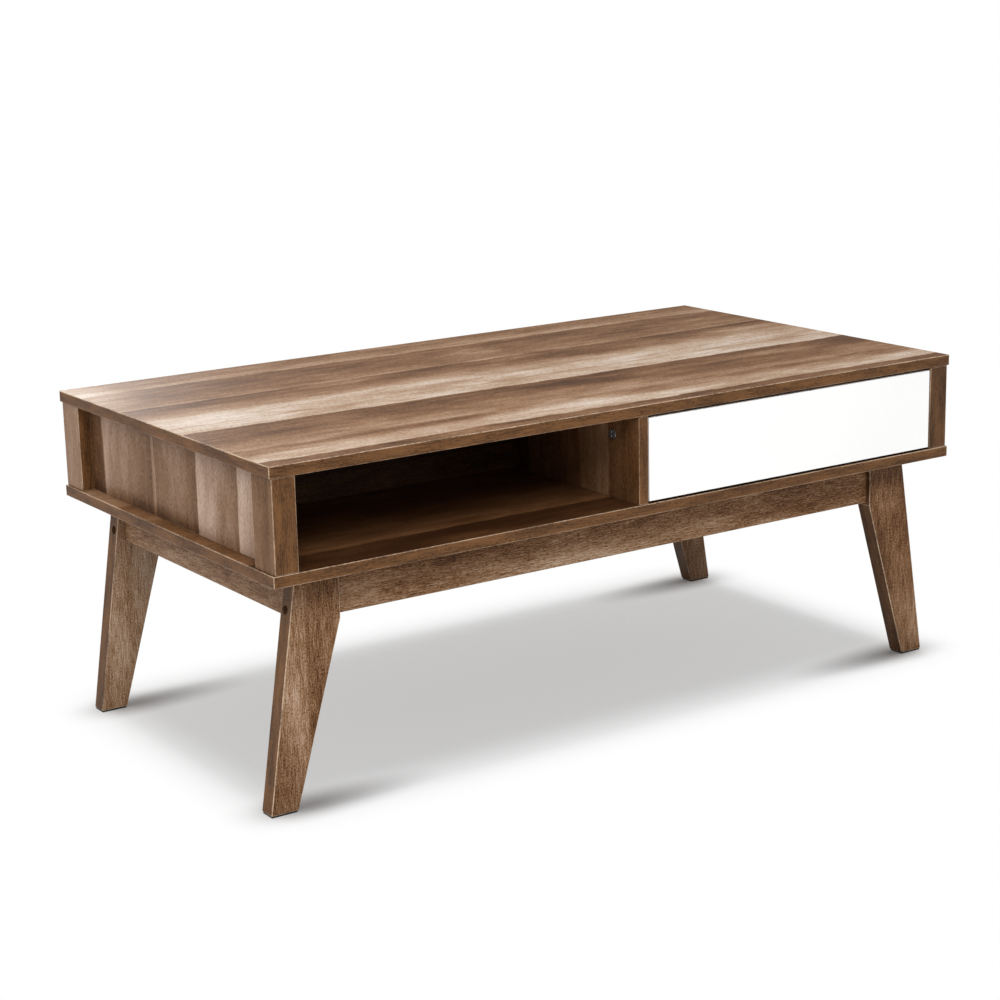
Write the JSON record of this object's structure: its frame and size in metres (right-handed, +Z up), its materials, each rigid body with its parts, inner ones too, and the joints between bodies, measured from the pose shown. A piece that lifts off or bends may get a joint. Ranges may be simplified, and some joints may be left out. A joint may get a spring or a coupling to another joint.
{
  "type": "coffee table",
  "caption": "Low wood-print coffee table on splayed tapered legs, with an open cubby beside a handle-less white drawer on each long side.",
  "frame": {"origin": "on the floor under the middle of the table", "axes": "+X along the table's length, -Y towards the front that shows the white drawer on the right, +Z up"},
  "size_m": [1.1, 0.6, 0.45],
  "materials": {
    "wood_print_board": "wood-print melamine on particle board, satin",
    "wood_print_frame": "wood-print foil on board, satin",
    "white_front": "white lacquered board, satin",
    "drawer_box_board": "white melamine on particle board",
    "drawer_bottom_sheet": "white-faced hardboard",
    "beech_dowels": "fluted beech",
    "pine_blocks": "planed pine",
    "black_glides": "moulded, matt",
    "runner_steel": "epoxy powder coat",
    "roller_nylon": "moulded nylon",
    "latch_plastic": "moulded, matt",
    "zinc_fasteners": "zinc plated"
  },
  "bodies": {
    "cabinet": {"top_panel": "wood_print_board", "bottom_panel": "wood_print_board", "centre_divider": "wood_print_board", "left_end_panel": "wood_print_board", "right_end_panel": "wood_print_board", "left_back_panel": "wood_print_board", "right_back_panel": "wood_print_board", "front_apron": "wood_print_frame", "rear_apron": "wood_print_frame", "left_apron": "wood_print_frame", "right_apron": "wood_print_frame", "glue_blocks": "pine_blocks", "foot_glides": "black_glides", "cam_locks": "zinc_fasteners", "cam_bolts": "zinc_fasteners", "wood_dowels": "beech_dowels", "leg_bolts": "zinc_fasteners", "barrel_nuts": "zinc_fasteners", "panel_screws": "zinc_fasteners", "block_screws": "zinc_fasteners", "fitting_screws": "zinc_fasteners", "front_left_post": "wood_print_board", "front_left_leg": "wood_print_frame", "front_cabinet_runner_left": "runner_steel", "front_right_post": "wood_print_board", "front_right_leg": "wood_print_frame", "front_cabinet_runner_right": "runner_steel", "front_latch_housing": "latch_plastic", "rear_left_post": "wood_print_board", "rear_left_leg": "wood_print_frame", "rear_cabinet_runner_left": "runner_steel", "rear_right_post": "wood_print_board", "rear_right_leg": "wood_print_frame", "rear_cabinet_runner_right": "runner_steel", "rear_latch_housing": "latch_plastic"},
    "front_drawer": {"front_drawer_front": "white_front", "front_drawer_back": "drawer_box_board", "front_drawer_bottom": "drawer_bottom_sheet", "front_drawer_left_wall": "drawer_box_board", "front_drawer_right_wall": "drawer_box_board", "front_drawer_runner_left": "runner_steel", "front_drawer_runner_right": "runner_steel", "front_strike_plate": "zinc_fasteners", "front_drawer_fasteners": "zinc_fasteners"},
    "front_cabinet_rollers": {"front_cabinet_rollers": "roller_nylon"},
    "front_drawer_rollers": {"front_drawer_rollers": "roller_nylon"},
    "front_latch_plunger": {"front_latch_plunger": "latch_plastic"},
    "rear_drawer": {"rear_drawer_front": "white_front", "rear_drawer_back": "drawer_box_board", "rear_drawer_bottom": "drawer_bottom_sheet", "rear_drawer_left_wall": "drawer_box_board", "rear_drawer_right_wall": "drawer_box_board", "rear_drawer_runner_left": "runner_steel", "rear_drawer_runner_right": "runner_steel", "rear_strike_plate": "zinc_fasteners", "rear_drawer_fasteners": "zinc_fasteners"},
    "rear_cabinet_rollers": {"rear_cabinet_rollers": "roller_nylon"},
    "rear_drawer_rollers": {"rear_drawer_rollers": "roller_nylon"},
    "rear_latch_plunger": {"rear_latch_plunger": "latch_plastic"}
  },
  "joints": [
    {"name": "front_drawer_slide", "type": "slide", "parent": "cabinet", "child": "front_drawer", "axis": [0, -1, 0], "range_m": [0, 0.14]},
    {"name": "front_cabinet_roller_spin", "type": "hinge", "parent": "cabinet", "child": "front_cabinet_rollers", "pos_m": [0.26125, -0.27, 0.3355], "axis": [1, 0, 0], "range_deg": [0, 892]},
    {"name": "front_drawer_roller_spin", "type": "hinge", "parent": "front_drawer", "child": "front_drawer_rollers", "pos_m": [0.26125, -0.0895, 0.3355], "axis": [1, 0, 0], "range_deg": [0, 892]},
    {"name": "front_latch_press", "type": "slide", "parent": "cabinet", "child": "front_latch_plunger", "axis": [0, 1, 0], "range_m": [0, 0.003], "stiffness_N_per_m": 900},
    {"name": "rear_drawer_slide", "type": "slide", "parent": "cabinet", "child": "rear_drawer", "axis": [0, 1, 0], "range_m": [0, 0.14]},
    {"name": "rear_cabinet_roller_spin", "type": "hinge", "parent": "cabinet", "child": "rear_cabinet_rollers", "pos_m": [-0.26125, 0.27, 0.3355], "axis": [-1, 0, 0], "range_deg": [0, 892]},
    {"name": "rear_drawer_roller_spin", "type": "hinge", "parent": "rear_drawer", "child": "rear_drawer_rollers", "pos_m": [-0.26125, 0.0895, 0.3355], "axis": [-1, 0, 0], "range_deg": [0, 892]},
    {"name": "rear_latch_press", "type": "slide", "parent": "cabinet", "child": "rear_latch_plunger", "axis": [0, -1, 0], "range_m": [0, 0.003], "stiffness_N_per_m": 900}
  ],
  "couplings": [
    {"joint": "front_cabinet_roller_spin", "follows": "front_drawer_slide", "rad_per_m": 111.11},
    {"joint": "front_drawer_roller_spin", "follows": "front_drawer_slide", "rad_per_m": 111.11},
    {"joint": "rear_cabinet_roller_spin", "follows": "rear_drawer_slide", "rad_per_m": 111.11},
    {"joint": "rear_drawer_roller_spin", "follows": "rear_drawer_slide", "rad_per_m": 111.11}
  ]
}
